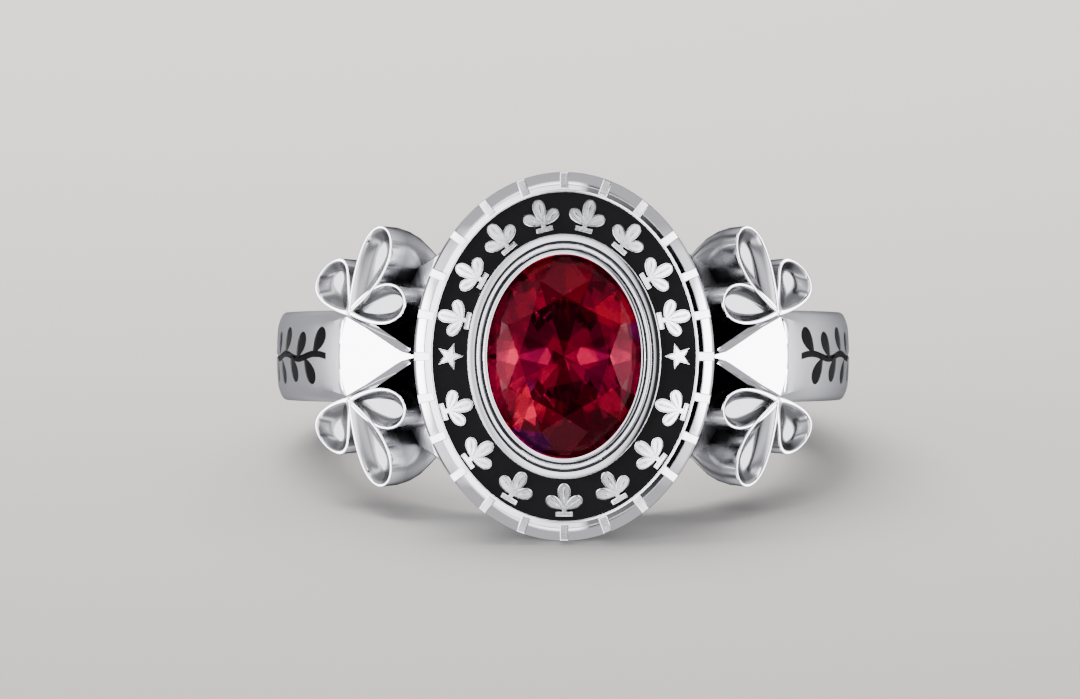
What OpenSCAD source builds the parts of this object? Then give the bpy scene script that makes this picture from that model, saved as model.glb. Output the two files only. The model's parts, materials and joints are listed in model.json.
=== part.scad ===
// Class ring: an oval head with a red oval stone, a black channel with raised leaf sprigs,
// and petal clusters on both shoulders.
// The ring is drawn with the finger along Y and the head's face looking up along Z,
// and it is then laid on its side, as it rests by itself. Millimetres.

/* [Finger hole] */
// Diameter of the finger hole
bore_d = 17.35; // [16.8:0.05:17.5]

/* [Head] */
// Width of the oval head, across the finger
head_w = 11.36; // [11.2:0.02:11.5]
// Height of the oval head, along the finger
head_h = 13.96; // [13.8:0.02:14.2]
// Height of the border's crest above the middle of the finger hole
crest_z = 12.9; // [12.8:0.02:13.0]
// Number of flat bars across the border
bars = 24; // [16:4:32]
// Width of one bar
bar_w = 0.33; // [0.2:0.01:0.45]
// Number of leaf sprigs in the upper half of the channel
top_sprigs = 8; // [6:2:8]
// Number of leaf sprigs in the lower half of the channel
low_sprigs = 7; // [5:2:7]

/* [Stone] */
// Width of the oval stone
stone_w = 6; // [5.9:0.02:6.02]
// Height of the oval stone
stone_h = 8; // [7.9:0.02:8.02]
// Height of the stone above its girdle
crown = 0.95; // [0.8:0.01:1.1]
// Depth of the stone below its girdle
pavilion = 2.55; // [2.3:0.01:2.6]
// Width of the stone's table as a share of the stone
table = 0.57; // [0.5:0.01:0.62]

/* [Shoulders and shank] */
// Overall width of the ring across the finger
ring_w = 22.8; // [22.5:0.02:23]
// Thickness of the shank at its back
back_t = 1.73; // [1.5:0.01:2.2]
// Width of the shank at its back
back_w = 3.2; // [3:0.05:3.6]
// Width of the band where it meets the petals
shoulder_w = 3.56; // [3.4:0.02:3.6]
// Tilt of the shoulders' flat facets away from the head
facet_tilt = 40; // [39:0.5:41]
// Depth of the dish in each petal
dish = 0.3; // [0.1:0.01:0.4]

/* [Fits] */
// Gap round each piece that is set into the metal
gap = 0.03; // [0.02:0.01:0.05]

/* [Hidden] */

oval_n = 48;
bore_r = bore_d / 2;
// Inside this radius everything is cut away by the finger hole
inner_r = bore_r - 0.45;
head_a = head_w / 2;
head_b = head_h / 2;

// The channel and the bezel, as insets from the head's outline across and along the finger
channel_out = [0.66, 0.73];
channel_in = [2.04, 2.38];
roll_out = [2.34, 2.66];
lip_out = [2.57, 2.93];
lip_in = [2.83, 3.18];
channel_z = crest_z - 0.55;
enamel_z = crest_z - 0.28;
leaf_z = crest_z - 0.04;
girdle_z = crest_z - 0.18;
girdle_t = 0.1;

// Head, from below the channel's outside, over the border and the bezel, down to the stone's seat.
// Columns: inset across the finger, inset along the finger, height from the crest
head_rows = [
    [0.90, 1.00, -7.00],
    [0.86, 0.96, -3.60],
    [0.50, 0.57, -2.00],
    [0.16, 0.19, -1.10],
    [0.03, 0.03, -0.85],
    [0.00, 0.00, -0.65],
    [0.07, 0.08, -0.40],
    [0.20, 0.25, -0.27],
    [0.38, 0.47, -0.18],
    [0.41, 0.50, -0.23],
    [0.43, 0.52, -0.10],
    [0.60, 0.67,  0.00],
    [channel_out[0], channel_out[1], 0],
    [channel_out[0], channel_out[1], channel_z - crest_z],
    [channel_in[0], channel_in[1], channel_z - crest_z],
    [channel_in[0], channel_in[1], 0.00],
    [roll_out[0] - 0.03, roll_out[1] - 0.03, 0.02],
    [roll_out[0], roll_out[1], -0.05],
    [roll_out[0] + 0.05, roll_out[1] + 0.06, 0.13],
    [roll_out[0] + 0.13, roll_out[1] + 0.15, 0.19],
    [lip_out[0] - 0.03, lip_out[1] - 0.04, 0.12],
    [lip_out[0], lip_out[1], 0.02],
    [lip_out[0] + 0.06, lip_out[1] + 0.06, 0.20],
    [lip_in[0] - 0.07, lip_in[1] - 0.07, 0.24],
    [lip_in[0], lip_in[1], 0.12],
    [lip_in[0], lip_in[1], 0.01],
    [head_a - stone_w / 2 - gap, head_b - stone_h / 2 - gap, -0.08],
    [head_a - stone_w / 2 - gap, head_b - stone_h / 2 - gap, -0.31],
    [head_a - 0.4, head_b - 0.53, -2.95]
];

// The flat shoulder facet lies in a plane at this distance from the middle of the finger hole
facet_d = 11.525;
// The crease where the band leaves the facet's plane: its middle, how far it bows back towards
// the facet's corners, and how far that bow reaches along the band
crease_at = 47.9;
crease_bow = 2.4;
bow_reach = 6.5;
// The facet narrows to a point: where it ends, its half width there, and where the band under it starts
tip_at = 29.3;
tip_half = 0.12;
band_from = 26;
bevel_w = 0.27;

// Back of the shank: the edge that the ring lies on
back_r = bore_r + back_t;
back_drop = 0.35;
rim_z = crest_z - 0.65;

// How the ring lies on its side: on the head's outline and on the edge of the shank's back
tilt = atan((head_b - back_w / 2) / (rim_z + back_r - back_drop));
lift = head_b * cos(tilt) - rim_z * sin(tilt);
front_y = (head_b - 0.64) * sin(tilt) + crest_z * cos(tilt);
back_y = back_r * cos(tilt) + 1.15 * sin(tilt);
shift = (front_y - back_y) / 2;

module as_it_lies() {
    translate([0, shift, lift]) rotate([90 - tilt, 0, 0]) children();
}

// Solid from rings of points of equal length, each ring running the same way round
module loft(rings) {
    n = len(rings[0]);
    rows = len(rings);
    sides = [
        for (k = [0 : rows - 2], i = [0 : n - 1], half = [0, 1])
            let (j = (i + 1) % n)
            half == 0
                ? [k * n + i, (k + 1) * n + i, (k + 1) * n + j]
                : [k * n + i, (k + 1) * n + j, k * n + j]
    ];
    first = [for (i = [0 : n - 1]) i];
    last = [for (i = [n - 1 : -1 : 0]) (rows - 1) * n + i];
    polyhedron([for (r = rings, p = r) p], concat(sides, [first, last]));
}

function oval(a, b, z, n = oval_n) = [for (i = [0 : n - 1]) [a * cos(i * 360 / n), b * sin(i * 360 / n), z]];

// Equal steps along an oval: the angle that lies a given way further round
function arc(a, b, u, du) = norm([a * (cos(u + du) - cos(u)), b * (sin(u + du) - sin(u))]);
function along(a, b, u, way, du = 0.5) =
    let (d = arc(a, b, u, du))
    way <= d ? u + du * way / d : along(a, b, u + du, way - d, du);
function way_between(a, b, u0, u1) =
    let (n = ceil((u1 - u0) * 2), du = (u1 - u0) / n)
    [for (i = 0, s = 0; i <= n; s = s + arc(a, b, u0 + i * du, du), i = i + 1) s][n];
function spread(a, b, u0, u1, n) =
    let (way = way_between(a, b, u0, u1))
    [for (i = [0 : n - 1]) along(a, b, u0, i * way / (n - 1))];

// Puts its children on an oval at angle u, with X pointing outward
module on_oval(a, b, u, z) {
    translate([a * cos(u), b * sin(u), z]) rotate(atan2(a * sin(u), b * cos(u))) children();
}

// Head

module head() {
    loft([for (r = head_rows) oval(head_a - r[0], head_b - r[1], crest_z + r[2])]);
}

module border_bars() {
    a = head_a - 0.31;
    b = head_b - 0.33;
    quarter = bars / 4;
    bar_l = 0.6;
    bar_h = 0.6;
    bar_top = crest_z + 0.01;
    for (turn = [0 : 3], i = [0 : quarter - 1]) {
        u = spread(a, b, turn * 90, turn * 90 + 90, quarter + 1)[i];
        on_oval(a, b, u, bar_top - bar_h) translate([-bar_l / 2, -bar_w / 2, 0]) cube([bar_l, bar_w, bar_h]);
    }
}

// A leaf from the origin along X, with a pointed foot and a round end; grow widens it all round
function leaf(l, w, grow, n = 10) = [
    for (i = [0 : n - 1])
        let (u = i * 360 / n)
        [
            (l + 2.5 * grow) * (1 - cos(u)) / 2 - 1.5 * grow,
            (w / 2 + grow) * sin(u) * sin(u / 2) / 0.77
        ]
];

// Leaves of one sprig. Columns: length, width, turn from upright, foot's place along the sprig
sprig_leaves = [
    [0.93, 0.44, 0, -0.33],
    [0.77, 0.40, 57, -0.35],
    [0.77, 0.40, -57, -0.35]
];
sprig_foot = -0.61;

// Three leaves that spread from a short stem on a bar, growing along X
module sprig(grow) {
    bar_half = [0.07 + grow, 0.3 + grow];
    stem_half = 0.06 + grow;
    for (s = sprig_leaves) {
        translate([s[3], 0]) rotate(s[2]) polygon(leaf(s[0], s[1], grow));
    }
    translate([sprig_foot - grow, -bar_half[1]]) square(2 * bar_half);
    translate([sprig_foot, -stem_half]) square([0.36, 2 * stem_half]);
}

module star(grow) {
    points = 5;
    outer = 0.48;
    polygon([
        for (i = [0 : 2 * points - 1])
            (i % 2 == 0 ? outer + grow * 2 : outer * 0.42 + grow) * [cos(i * 180 / points), sin(i * 180 / points)]
    ]);
}

// The raised ornament in the channel, from the channel's floor
module channel_ornament(grow, h) {
    a = head_a - (channel_out[0] + channel_in[0]) / 2;
    b = head_b - (channel_out[1] + channel_in[1]) / 2;
    top = spread(a, b, 15.6, 164.4, top_sprigs);
    low = spread(a, b, 201, 339, low_sprigs);
    for (u = concat(top, low)) {
        // upright all the way round: outward in the upper half, inward in the lower half
        on_oval(a, b, u, 0) linear_extrude(h) rotate(u < 180 ? 0 : 180) sprig(grow);
    }
    for (u = [0, 180]) {
        on_oval(a, b, u, 0) linear_extrude(h) rotate(180) star(grow);
    }
}

// Band: columns are angle from the head, half width, half width of the flat top, radius,
// drop at the flat top's edge, drop at the outer edge

function ease(t) = (1 - cos(180 * t)) / 2;
function mix(a, b, t) = a + (b - a) * t;
function facet_r(at) = facet_d / cos(at - facet_tilt);

// Angle of a point of the section at angle at, a share of the half width away from its middle
function bowed(at, share) = at - crease_bow * max(0, 1 - abs(at - crease_at) / bow_reach) * pow(share, 2);

function facet_station(at) =
    let (
        corner_at = crease_at - crease_bow,
        w = mix(tip_half, shoulder_w / 2, max(0, (bowed(at, 1) - tip_at) / (corner_at - tip_at)))
    )
    [at, w, w - min(bevel_w, w * 0.6), facet_r(at), 0, 0.22];

function band_station(at) =
    let (
        t = (at - crease_at) / (180 - crease_at),
        near = min(1, (at - crease_at) / 7),
        side_r = ring_w / 2,
        r = at < 90
            ? mix(facet_r(crease_at), side_r, ease((at - crease_at) / (90 - crease_at)))
            : mix(side_r, back_r, ease((at - 90) / 90))
    )
    [
        at,
        mix(shoulder_w, back_w, t) / 2,
        mix(shoulder_w / 2 - bevel_w, 1.15, near),
        r,
        mix(0, 0.06, near),
        mix(0.22, back_drop, near)
    ];

band_stations = concat(
    [for (at = [band_from, tip_at, 33, 38, 43, crease_at]) facet_station(at)],
    [for (at = [49.5, 53, 57, 61, 65]) band_station(at)],
    [for (at = [70 : 5 : 180]) band_station(at)]
);

// One section of the band, cut along the finger
function section(s) =
    let (
        at = s[0],
        w = s[1],
        f = s[2],
        sag = s[4],
        edge = s[5],
        top = [[w, edge], [f, sag], [f / 2, sag / 4], [0, 0], [-f / 2, sag / 4], [-f, sag], [-w, edge]],
        top_points = [
            for (p = top)
                let (a = bowed(at, p[0] / w), r = at <= crease_at ? facet_r(a) : s[3])
                [(r - p[1]) * sin(a), p[0], (r - p[1]) * cos(a)]
        ],
        floor_at = bowed(at, 1)
    )
    concat(
        [[inner_r * sin(floor_at), w * 0.9, inner_r * cos(floor_at)]],
        top_points,
        [[inner_r * sin(floor_at), -w * 0.9, inner_r * cos(floor_at)]]
    );

// The band from the point of one facet round the back to the point of the other
module band() {
    right = [for (s = band_stations) section(s)];
    left = [for (s = right) [for (p = s) [-p[0], p[1], p[2]]]];
    last = len(left) - 2;
    loft(concat(right, [for (k = [last : -1 : 0]) left[k]]));
}

// Low metal between the head and the band, under the petals.
// Columns: angle from the head, half width
web_rows = [
    [14, 4.9],
    [26, 4.3],
    [34, 3.5],
    [42, 2.8],
    [50, 1.9],
    [58, 1.5]
];
web_r = 9.9;

module web() {
    loft([
        for (w = web_rows)
            [for (p = [[inner_r, w[1] * 0.94], [web_r, w[1]], [web_r, -w[1]], [inner_r, -w[1] * 0.94]])
                [p[0] * sin(w[0]), p[1], p[0] * cos(w[0])]]
    ]);
}

// Petals. They grow from one root at the facet's corner and lie in the facet's plane.
// Columns: across and along the finger from root to end, half width, where it bends to, fullness,
// how far its rim lies above the facet
petal_root = [8.25, 1.73];
petals = [
    [-1.37, 3.25, 0.64, -0.12, 1.0, 0.05],
    [-2.19, 0.53, 0.78, -0.06, 0.9, 0.03],
    [0.52, 2.03, 0.66, 0.44, 0.5, 0.01]
];
petal_n = 18;
petal_rim = 0.12;
// The petals' walls run down square to the facet and draw in to the middle of the finger.
// Columns: depth, share of the way out along the finger that is left
petal_walls = [
    [3.45, 0.72],
    [2.5, 0.86],
    [1.5, 0.97],
    [0, 1]
];
// Each petal starts this far behind the root, inside the metal of its neighbours
petal_sunk = 0.17;

// Point of a petal's outline at angle u; inset draws the outline inside the rim
function petal_point(p, u, inset, size = 1) =
    let (
        full_l = norm([p[0], p[1]]) + petal_sunk,
        start = inset * 2.6,
        l = full_l - start - inset,
        w = p[2] - inset,
        dir = [p[0], p[1]] / norm([p[0], p[1]]),
        side = [dir[1], -dir[0]],
        t = (1 - cos(u)) / 2,
        mid = start + l * mix(0.62, t, size),
        out = w * size * sin(u) * pow(sin(u / 2), p[4]) / 0.8,
        bow = p[3] * sin(180 * mid / full_l)
    )
    petal_root + dir * (mid - petal_sunk) + side * (out + bow);

function in_facet(q, depth) =
    let (z = (facet_d - q[0] * sin(facet_tilt)) / cos(facet_tilt))
    [q[0] - depth * sin(facet_tilt), q[1], z - depth * cos(facet_tilt)];

module petal(p) {
    turn = [for (i = [0 : petal_n - 1]) i * 360 / petal_n];
    walls = [
        for (w = petal_walls)
            [for (u = turn) let (q = in_facet(petal_point(p, u, 0), w[0] - p[5])) [q[0], q[1] * w[1], q[2]]]
    ];
    inner = [for (u = turn) in_facet(petal_point(p, u, petal_rim), -p[5])];
    slope = [for (u = turn) in_facet(petal_point(p, u, petal_rim, 0.62), dish * 0.8 - p[5])];
    floor = [for (u = turn) in_facet(petal_point(p, u, petal_rim, 0.2), dish - p[5])];
    loft(concat(walls, [inner, slope, floor]));
}

module petal_clusters() {
    for (x = [0, 1], y = [0, 1]) {
        mirror([x, 0, 0]) mirror([0, y, 0]) for (p = petals) petal(p);
    }
}

// Nodes

module ring_body() {
    color("silver") as_it_lies() difference() {
        resize([ring_w, 0, 0]) union() {
            head();
            border_bars();
            translate([0, 0, channel_z - 0.1]) channel_ornament(0, leaf_z - channel_z + 0.1);
            band();
            web();
            mirror([1, 0, 0]) web();
            petal_clusters();
        }
        rotate([90, 0, 0]) cylinder(r = bore_r, h = 20, center = true, $fn = 120);
    }
}

// Oval brilliant: a table, eight stars, eight kites and sixteen halves above the girdle,
// sixteen halves and eight mains below it
function stone_ring(share, z, from, n) = [
    for (i = [0 : n - 1])
        let (u = from + i * 360 / n)
        [stone_w / 2 * share * cos(u), stone_h / 2 * share * sin(u), z]
];

module stone() {
    star_r = 0.77;
    half_r = 0.25;
    star_z = crown * (1 - star_r * cos(22.5)) / (1 - table);
    half_z = pavilion * (1 - half_r * cos(22.5));
    points = concat(
        stone_ring(table, crown, 90, 8),
        stone_ring(star_r, star_z, 112.5, 8),
        stone_ring(1, 0, 90, 16),
        stone_ring(1, -girdle_t, 90, 16),
        stone_ring(half_r, -girdle_t - half_z, 112.5, 8),
        [[0, 0, -girdle_t - pavilion]]
    );
    star_0 = 8;
    girdle_0 = 16;
    low_0 = 32;
    half_0 = 48;
    culet = 56;
    faces = concat(
        [[for (i = [7 : -1 : 0]) i]],
        [for (i = [0 : 7]) [i, (i + 1) % 8, star_0 + i]],
        [for (i = [0 : 7]) [i, star_0 + i, girdle_0 + 2 * i, star_0 + (i + 7) % 8]],
        [for (i = [0 : 7]) [star_0 + i, girdle_0 + 2 * i + 1, girdle_0 + 2 * i]],
        [for (i = [0 : 7]) [star_0 + i, girdle_0 + (2 * i + 2) % 16, girdle_0 + 2 * i + 1]],
        [for (i = [0 : 15]) [girdle_0 + i, girdle_0 + (i + 1) % 16, low_0 + (i + 1) % 16, low_0 + i]],
        [for (i = [0 : 7]) [half_0 + i, low_0 + 2 * i, low_0 + 2 * i + 1]],
        [for (i = [0 : 7]) [half_0 + i, low_0 + 2 * i + 1, low_0 + (2 * i + 2) % 16]],
        [for (i = [0 : 7]) [culet, half_0 + (i + 7) % 8, low_0 + 2 * i, half_0 + i]]
    );
    color("crimson") as_it_lies() translate([0, 0, girdle_z]) polyhedron(points, faces);
}

module enamel_band() {
    color("black") as_it_lies() difference() {
        translate([0, 0, channel_z + gap]) linear_extrude(enamel_z - channel_z - gap) difference() {
            polygon([for (p = oval(head_a - channel_out[0] - gap, head_b - channel_out[1] - gap, 0)) [p[0], p[1]]]);
            polygon([for (p = oval(head_a - channel_in[0] + gap, head_b - channel_in[1] + gap, 0)) [p[0], p[1]]]);
        }
        translate([0, 0, channel_z - 0.2]) channel_ornament(gap, 1);
    }
}

ring_body();
stone();
enamel_band();
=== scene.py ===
"""Class ring: polished silver with petal clusters, a black channel of raised leaves and an oval red stone.

Shapes are worked out in millimetres in the ring's own frame, with X across the finger, Y along it and
Z out of the stone's face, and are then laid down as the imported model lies.
"""
import json
import math

import bpy
import numpy as np
from mathutils import Matrix, Vector


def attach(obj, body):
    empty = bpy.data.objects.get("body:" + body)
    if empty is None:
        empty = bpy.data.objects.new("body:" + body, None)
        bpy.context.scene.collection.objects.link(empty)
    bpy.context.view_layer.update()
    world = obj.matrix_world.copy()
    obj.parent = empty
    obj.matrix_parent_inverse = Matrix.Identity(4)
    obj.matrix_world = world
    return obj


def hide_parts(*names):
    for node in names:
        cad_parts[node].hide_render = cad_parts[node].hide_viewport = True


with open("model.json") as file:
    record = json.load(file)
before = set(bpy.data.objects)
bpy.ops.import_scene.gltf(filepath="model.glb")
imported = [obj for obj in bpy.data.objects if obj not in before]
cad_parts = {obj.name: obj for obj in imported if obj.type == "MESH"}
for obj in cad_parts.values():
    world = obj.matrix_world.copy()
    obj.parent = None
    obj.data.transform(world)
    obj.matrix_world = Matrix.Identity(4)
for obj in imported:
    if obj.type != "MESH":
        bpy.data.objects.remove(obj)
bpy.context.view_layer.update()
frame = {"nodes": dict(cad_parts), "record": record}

# The ring's own frame, from the finger hole's mount
MM = 0.001
finger = frame["record"]["mounts"][0]
bore_r = finger["dims"]["r_mm"]
axis_x = Vector((1, 0, 0))
axis_y = Vector(finger["axis"]).normalized()
axis_z = axis_x.cross(axis_y)
ring_turn = Matrix((axis_x, axis_y, axis_z)).transposed().to_4x4()
lay_down = Matrix.Translation(finger["pos_m"]) @ ring_turn @ Matrix.Scale(MM, 4)
MIRROR = Matrix.Diagonal((-1, 1, 1, 1))

# Camera: straight onto the stone's face. The photograph is 1080 x 699 pixels.
PHOTO_W = 1080
PHOTO_H = 699
PX_PER_MM = 26.5
RING_AT_PX = (564.2, 356.4)
LENS = 200.0
SENSOR = 36.0

# Floor and lamps, in metres and watts. Columns: name, place, target, side of the square lamp, power
FLOOR_HALF = 3.0
FLOOR_COLOUR = (0.365, 0.355, 0.335, 1)
LAMP_SPREAD = math.radians(100)
LAMPS = [
    ("key", (-0.08, 0.10, 0.25), (0, 0.10, 0), 0.2, 0.7),
    ("top", (0.10, 0.20, 0.30), (0, 0.20, 0), 0.3, 0.8),
]

# Room: brightness over a direction's share across the finger, for directions towards the camera
ROOM_FRONT = [
    (-1.0, 12.0), (-0.97, 10.0), (-0.91, 1.8), (-0.8, 1.6), (-0.7, 3.0), (-0.56, 3.0),
    (-0.46, 1.0), (-0.36, 1.4), (-0.2, 2.6), (0, 2.6), (0.3, 1.8), (0.40, 0.6),
    (0.44, 0.03), (0.66, 0.03), (0.72, 1.2), (0.91, 1.8), (0.97, 10.0), (1.0, 12.0),
]
# The same for directions away from the camera
ROOM_BACK = [
    (-1.0, 1.0), (-0.93, 0.8), (-0.88, 0.15), (-0.78, 0.12), (-0.6, 0.8), (-0.3, 0.2),
    (0.2, 0.08), (0.45, 0.1), (0.6, 0.6), (0.9, 0.9), (1.0, 1.0),
]
ROOM_COLOUR = (0.94, 0.937, 1.0, 1)
# Shares towards the camera between which the back turns into the front
FRONT_FROM = (-0.06, 0.10)
# Brightness in the finger's direction, both ways, and the shares along it between which that sets in
ROOM_CAP = 0.6
CAP_FROM = (0.5, 0.65)
# A ring of light round the lens: its share towards the camera, half its width there, its soft edge, its
# brightness, and the shares across the finger between which it ends on the right
RING_LIGHT_AT = 0.5
RING_LIGHT_HALF = 0.055
RING_LIGHT_SOFT = 0.06
RING_LIGHT = 4.5
RING_LIGHT_END = (0.12, 0.2)
# Round the lens: a black disc, its edge and the share towards the camera from which it is black, then a grey
# panel that ends in white ones on both sides
LENS_DEG = 1.0
LENS_BLACK = 1.0 - 1e-4
PANEL_DEG = 5.0
PANEL_EDGE_DEG = 0.1
PANEL_MIDDLE = 0.004
PANEL_HALF = 0.015
PANEL_SOFT = 0.0015
PANEL_GREY = 0.5
PANEL_WHITE = 8.0

# Head, in millimetres: half its size across the finger and along it, then heights in the ring's own frame of
# the border's crest, the channel's floor, the enamel and the raised ornament
HEAD_A = 5.68
HEAD_B = 6.98
CREST_Z = 12.9
CHANNEL_Z = CREST_Z - 0.55
ENAMEL_Z = CREST_Z - 0.27
LEAF_Z = CREST_Z - 0.05
# Insets of the channel's walls from the head's outline, across the finger
CHANNEL_OUT = 0.66
CHANNEL_IN = 2.04
# How much higher the enamel is at the walls than in the middle
ENAMEL_SAG = 0.02
# Half the stone's width, and the clearance of what is set into the silver
STONE_A = 3.0
FIT = 0.03
OVAL_STEPS = 288
# Insets across the finger and the insets along it that belong to them
OVAL_INSETS = [
    (0, 0), (0.39, 0.48), (0.66, 0.73), (2.04, 2.38),
    (2.34, 2.66), (2.57, 2.93), (2.83, 3.18), (5.28, 6.45),
]
# From under the rim, over the border and the bezel, down into the stone's seat.
# Columns: inset across the finger, height over the crest, rounding
HEAD_PROFILE = [
    (0.90, -7.00, 0),
    (0.86, -3.60, 0.8),
    (0.50, -2.00, 0.6),
    (0.16, -1.10, 0.25),
    (0.00, -0.86, 0.12),
    (0.00, -0.50, 0.12),
    (0.395, -0.17, 0.05),
    (0.40, -0.24, 0),
    (0.415, -0.24, 0),
    (0.42, -0.104, 0),
    (0.60, 0.00, 0),
    (CHANNEL_OUT, 0.00, 0.01),
    (CHANNEL_OUT, CHANNEL_Z - CREST_Z, 0),
    (CHANNEL_IN, CHANNEL_Z - CREST_Z, 0),
    (CHANNEL_IN, 0.03, 0.025),
    (2.29, 0.09, 0.02),
    (2.30, -0.12, 0.01),
    (2.37, -0.12, 0.01),
    (2.38, 0.21, 0.10),
    (2.535, 0.21, 0.10),
    (2.545, -0.08, 0.01),
    (2.60, -0.08, 0.01),
    (2.61, 0.23, 0.06),
    (2.77, 0.27, 0.04),
    (2.83, 0.11, 0.015),
    (2.83, 0.01, 0),
    (HEAD_A - STONE_A - FIT, -0.08, 0),
    (HEAD_A - STONE_A - FIT, -0.31, 0),
    (HEAD_A - 0.4, -2.95, 0),
]

# Bars across the border: how many, their size, how far they stand over the crest, their softened edge, and
# the inset of the oval that they stand on, across the finger and along it
BARS = 24
BAR_W = 0.33
BAR_LONG = 0.62
BAR_DEEP = 0.62
BAR_PROUD = 0.012
BAR_SOFT = 0.03
BAR_INSET = (0.32, 0.34)

# Raised ornament of the channel: first angle, last angle and number of the sprigs above and below
TOP_SPRIGS = (15.6, 164.4, 8)
LOW_SPRIGS = (201, 339, 7)
# Leaves of one sprig: length, width, turn from upright in degrees, foot's place along the sprig
SPRIG_LEAVES = [
    (0.93, 0.44, 0, -0.33),
    (0.77, 0.40, 57, -0.35),
    (0.77, 0.40, -57, -0.35),
]
# Each leaf of a sprig is this much lower than the one before, so that no two tops lie in one plane
LEAF_STEP = 0.004
# A leaf's rings: share of its length, share of its width, depth below its top
LEAF_RINGS = [(1, 1, 0.035), (0.95, 0.87, 0), (0.78, 0.2, 0), (0.76, 0.02, 0.05)]
# Where a leaf's rings close in, as a share of its length, and how many times as far as its sides its foot
# grows in a cutter
LEAF_HEART = 0.6
LEAF_FOOT_GROWTH = 1.5
# Largest value of sin(u) sin(u/2), which a leaf's outline is divided by
LEAF_PEAK = 0.77
# A sprig's foot is a bar: where it starts, its length and half its width
SPRIG_FOOT = -0.61
FOOT_LONG = 0.14
FOOT_HALF = 0.3
# A sprig's stem: its ends from the foot's start, half its width, and how much lower than the leaves it is
STEM_FROM = 0.05
STEM_TO = 0.36
STEM_HALF = 0.06
STEM_SUNK = 0.02
# Bevel of the foot, and the bevel of what stays sharp
ORNAMENT_SOFT = 0.03
HAIR = 0.001
# Stars: radius of the points, of the bevelled top's points, share of the inner corners, height of the bevel
STAR_R = 0.48
STAR_TOP_R = 0.415
STAR_INNER = 0.42
STAR_SOFT = 0.04
# How deep the ornament goes into the channel's floor. The cutter that makes room for it in the enamel: how
# deep it starts, its height, and how much larger it is all round
ORNAMENT_ROOT = 0.1
CUTTER_ROOT = 0.2
CUTTER_H = 1.0
CUTTER_GROWTH = FIT * 0.7

# Shoulders and band. Angles are in degrees round the finger, from the middle of the stone's face.
# The kites' plane: its tilt and its distance from the finger's axis
FACET_TILT = math.radians(40)
FACET_D = 11.525
# The crease at a kite's wide end: its angle, how far it bows and over how many degrees that fades
CREASE_AT = 47.9
CREASE_BOW = 2.4
BOW_REACH = 6.5
# The kites' pointed end: its angle and half width
TIP_AT = 29.3
TIP_HALF = 0.12
# The band's half widths at the crease and at the back
SHOULDER_HALF = 1.78
BACK_HALF = 1.6
# The band's radius at the side and at the back, and how far in it reaches before the finger hole is cut
SIDE_R = 11.4
BACK_R = bore_r + 1.73
INNER_R = bore_r - 0.45
# A kite's bevel: its width, the largest share of the half width that it takes, its drop
BEVEL_W = 0.27
BEVEL_SHARE = 0.6
BEVEL_DROP = 0.22
# The shank behind the crease: half width of its flat top, sag of the top, drop at the edge, and the degrees
# in which the kite's section turns into this one
FLAT_HALF = 1.15
TOP_SAG = 0.06
BACK_DROP = 0.35
TURN_OVER = 7
# The shank's edge: how much of a rounding it has instead of a bevel, how much of an arc that is, the height
# of the upright wall below it, and the rounding at the finger hole
EDGE_ROUND = 0.8
EDGE_ARC = 0.75
EDGE_WALL = 0.06
INNER_SOFT = 0.16
# Sections of the band: first angle, last angle, how many
BAND_SECTIONS = [
    (26, 26, 1),
    (TIP_AT, 41, 9),
    (41.7, CREASE_AT, 10),
    (CREASE_AT + 0.3, 60, 22),
    (61.5, 180, 80),
]

# The solid metal between the head and the band. Columns: angle, half width
WEB_HALVES = [(14, 4.9), (26, 4.3), (34, 3.5), (42, 2.8), (50, 1.9), (58, 1.5)]
WEB_SECTIONS = 24
# Its radius, its bevel, and the share of its width that is left at the finger hole
WEB_R = 9.9
WEB_SOFT = 0.1
WEB_TAPER = 0.94

# Petals: the place of their common root, and a row for each. Columns: across and along the finger from root
# to end, half width, bend, fullness, height of the rim over the kites' plane, folded
PETAL_ROOT = np.array([8.25, 1.73])
PETALS = [
    (-1.37, 3.25, 0.64, -0.12, 1.0, 0.05, False),
    (-2.19, 0.53, 0.78, -0.06, 0.9, 0.03, True),
    (0.52, 2.03, 0.66, 0.44, 0.5, 0.01, False),
]
# How far behind the root a petal's outline starts
PETAL_SUNK = 0.17
# About the largest value of sin(u) sin(u/2), which a petal's outline is divided by
PETAL_PEAK = 0.8
# How many times as far as elsewhere a petal's outline is drawn in at its root
ROOT_INSET = 2.6
# Petal walls lean in as they go down: depth, and the share of a place along the finger that is left there
PETAL_WALLS = [(3.45, 0.72), (3.0, 0.785), (2.5, 0.86), (2.0, 0.925), (1.5, 0.965), (0.9, 0.99)]
# Petal rims: the rounding of the outer edge, then the width and the depth at the inner edge
RIM_SOFT = 0.028
RIM_W = 0.11
RIM_SUNK = 0.02
# Rings of a rim, from its outer edge inwards: inset, depth
RIM_ROWS = [
    (RIM_SOFT * 0.3, RIM_SOFT * 0.3),
    (RIM_SOFT, 0.003),
    (0.045, 0),
    (0.075, 0.002),
    (0.095, 0.008),
    (RIM_W, RIM_SUNK),
]
# Inside a petal: a bowl's depth, where along the petal it closes in, the share of the way in over which it
# slopes, and its rings' sizes
BOWL_DEEP = 0.40
BOWL_MIDDLE = 0.7
BOWL_SLOPE = 0.65
BOWL_SIZES = (0.97, 0.93, 0.87, 0.8, 0.72, 0.64, 0.56, 0.48, 0.42, 0.34, 0.26, 0.14, 0.02)
# Inside a folded petal: depth, where it closes in, how far across, from the root and from the end, and the
# shares of that at its rings
FOLD_DEEP = BOWL_DEEP * 0.85
FOLD_MIDDLE = 0.62
FOLD_CLOSES = (0.55, 0.03, 0.3)
FOLD_STEPS = (0.15, 0.4, 0.7, 0.92, 1.0)

# Engraving on the band's sides: a swaying stem with leaves in turn on both sides. Places are measured round
# the band from its outermost point, towards the kite
VINE_FROM = -5.2
VINE_TO = 7.5
VINE_STEPS = 60
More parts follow.
